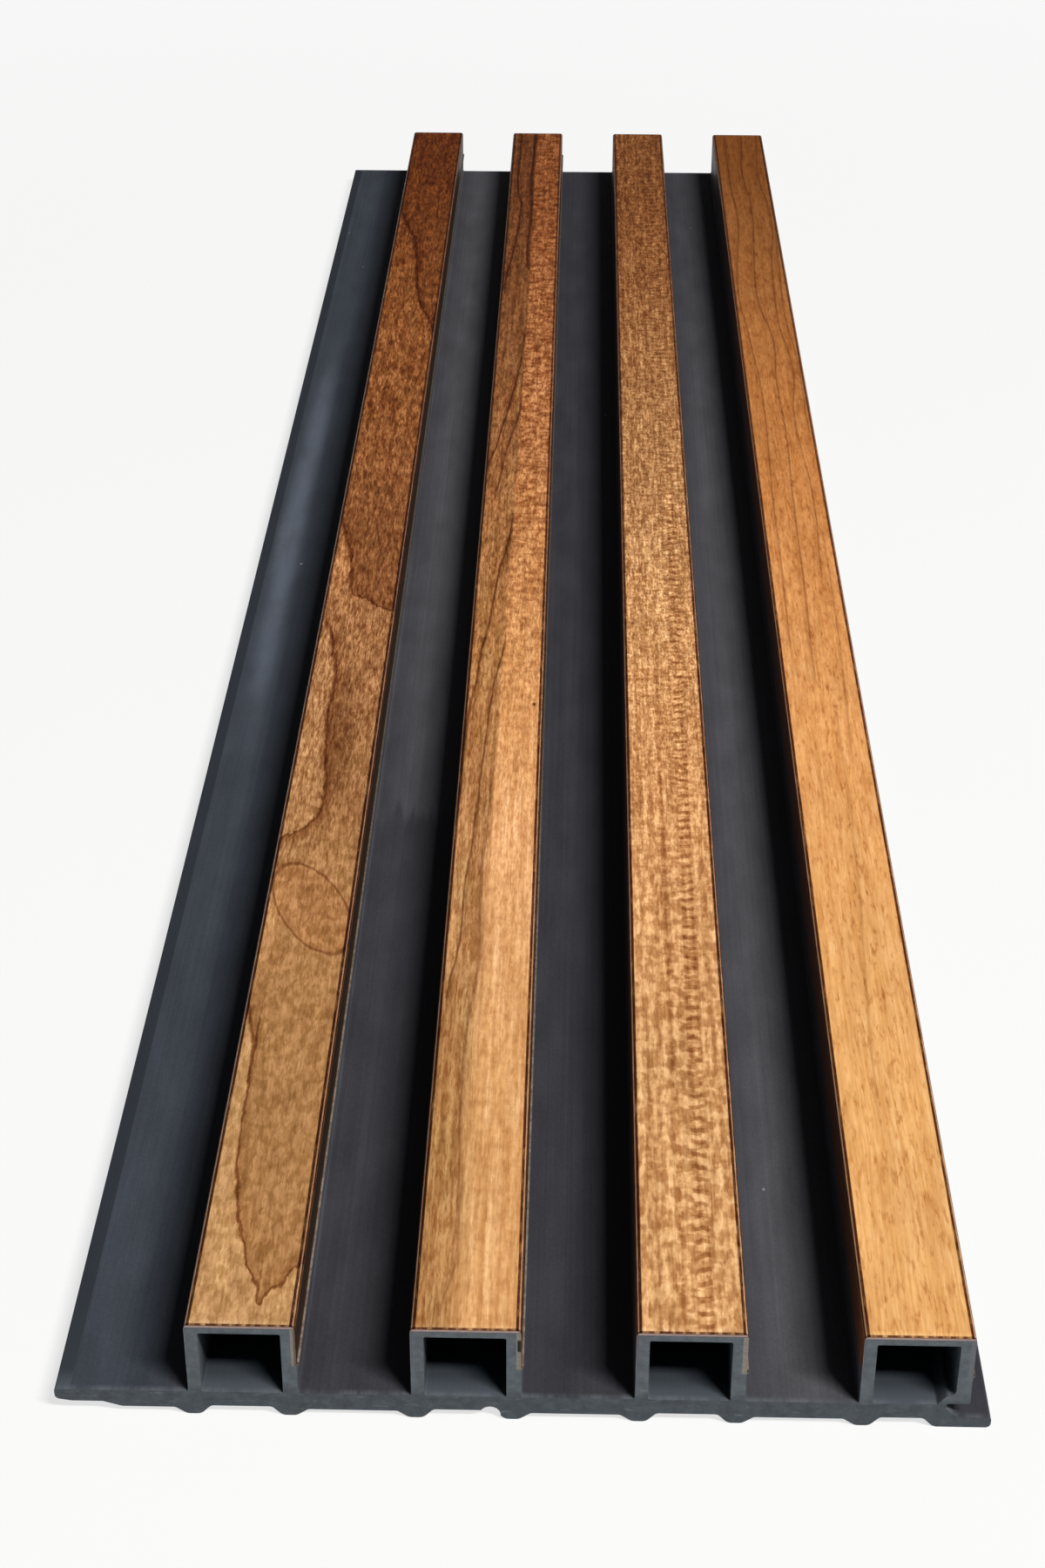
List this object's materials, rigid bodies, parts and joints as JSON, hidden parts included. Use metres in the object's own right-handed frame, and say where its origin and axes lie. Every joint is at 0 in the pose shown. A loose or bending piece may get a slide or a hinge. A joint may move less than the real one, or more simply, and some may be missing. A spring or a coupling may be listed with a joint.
{
  "type": "composite wall panel",
  "caption": "Extruded composite wall panel with hollow slats faced in wood-print film, glue ribs behind, and a tongue and a groove along its long edges.",
  "frame": {"origin": "middle of the panel's footprint, level with the bottoms of the glue ribs", "axes": "+X across the slats from the tongue edge to the groove edge, +Y along the slats, +Z from the wall outwards through the slat tops"},
  "size_m": [0.168, 0.7, 0.021],
  "materials": {
    "core": "extruded wood-plastic composite, charcoal, satin, with sawn ends",
    "decor_film": "laminated film with a printed wood figure, satin, cream at its cut edges"
  },
  "bodies": {
    "root": {"core_profile": "core", "decor_film_1": "decor_film", "decor_film_2": "decor_film", "decor_film_3": "decor_film", "decor_film_4": "decor_film"}
  },
  "joints": []
}
